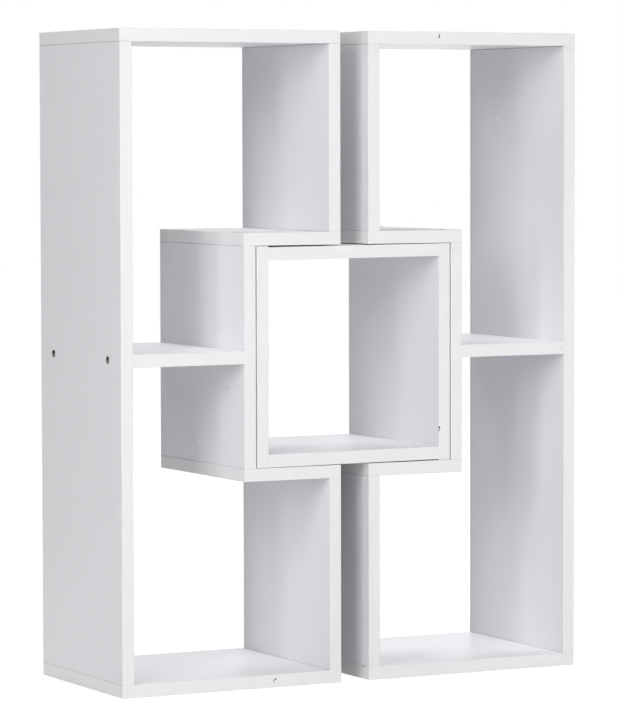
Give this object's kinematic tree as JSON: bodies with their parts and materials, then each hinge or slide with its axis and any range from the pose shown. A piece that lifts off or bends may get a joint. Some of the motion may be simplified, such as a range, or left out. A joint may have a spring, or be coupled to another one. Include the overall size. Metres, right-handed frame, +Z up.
{
  "type": "cube storage unit",
  "caption": "Free-standing white open shelving: mirrored C-shaped units with a loose open cube resting in the square recess between them.",
  "frame": {"origin": "centre of the footprint at floor level", "axes": "+Z up, +X to the right seen from the front, front faces -Y"},
  "size_m": [0.639, 0.24, 0.81],
  "materials": {
    "board": "white melamine-faced chipboard, satin, very fine grain; raw chipboard inside the screw holes and on hidden ends",
    "edging": "white edging strip, satin, outer edges slightly rounded",
    "screw": "bright zinc plated, hexagon socket",
    "dowel": "raw beech"
  },
  "bodies": {
    "left_unit": {"left_side_panel": "board", "left_top_panel": "board", "left_bottom_panel": "board", "left_upper_divider": "board", "left_lower_divider": "board", "left_upper_ledge": "board", "left_lower_ledge": "board", "left_recess_wall": "board", "left_shelf": "board", "left_side_panel_edging": "edging", "left_top_panel_edging": "edging", "left_bottom_panel_edging": "edging", "left_upper_divider_edging": "edging", "left_lower_divider_edging": "edging", "left_upper_ledge_edging": "edging", "left_lower_ledge_edging": "edging", "left_recess_wall_edging": "edging", "left_shelf_edging": "edging", "left_unit_screws": "screw", "left_unit_dowels": "dowel"},
    "right_unit": {"right_side_panel": "board", "right_top_panel": "board", "right_bottom_panel": "board", "right_upper_divider": "board", "right_lower_divider": "board", "right_upper_ledge": "board", "right_lower_ledge": "board", "right_recess_wall": "board", "right_shelf": "board", "right_side_panel_edging": "edging", "right_top_panel_edging": "edging", "right_bottom_panel_edging": "edging", "right_upper_divider_edging": "edging", "right_lower_divider_edging": "edging", "right_upper_ledge_edging": "edging", "right_lower_ledge_edging": "edging", "right_recess_wall_edging": "edging", "right_shelf_edging": "edging", "right_unit_screws": "screw", "right_unit_dowels": "dowel"},
    "cube": {"cube_left_side": "board", "cube_right_side": "board", "cube_top": "board", "cube_bottom": "board", "cube_left_side_edging": "edging", "cube_right_side_edging": "edging", "cube_top_edging": "edging", "cube_bottom_edging": "edging", "cube_screws": "screw", "cube_dowels": "dowel"}
  },
  "joints": [
    {"name": "cube_slide", "type": "slide", "parent": "left_unit", "child": "cube", "axis": [0, -1, 0], "range_m": [-0.11, 0.11]},
    {"name": "right_unit_slide", "type": "slide", "parent": "left_unit", "child": "right_unit", "axis": [1, 0, 0], "range_m": [0, 0.1]}
  ]
}
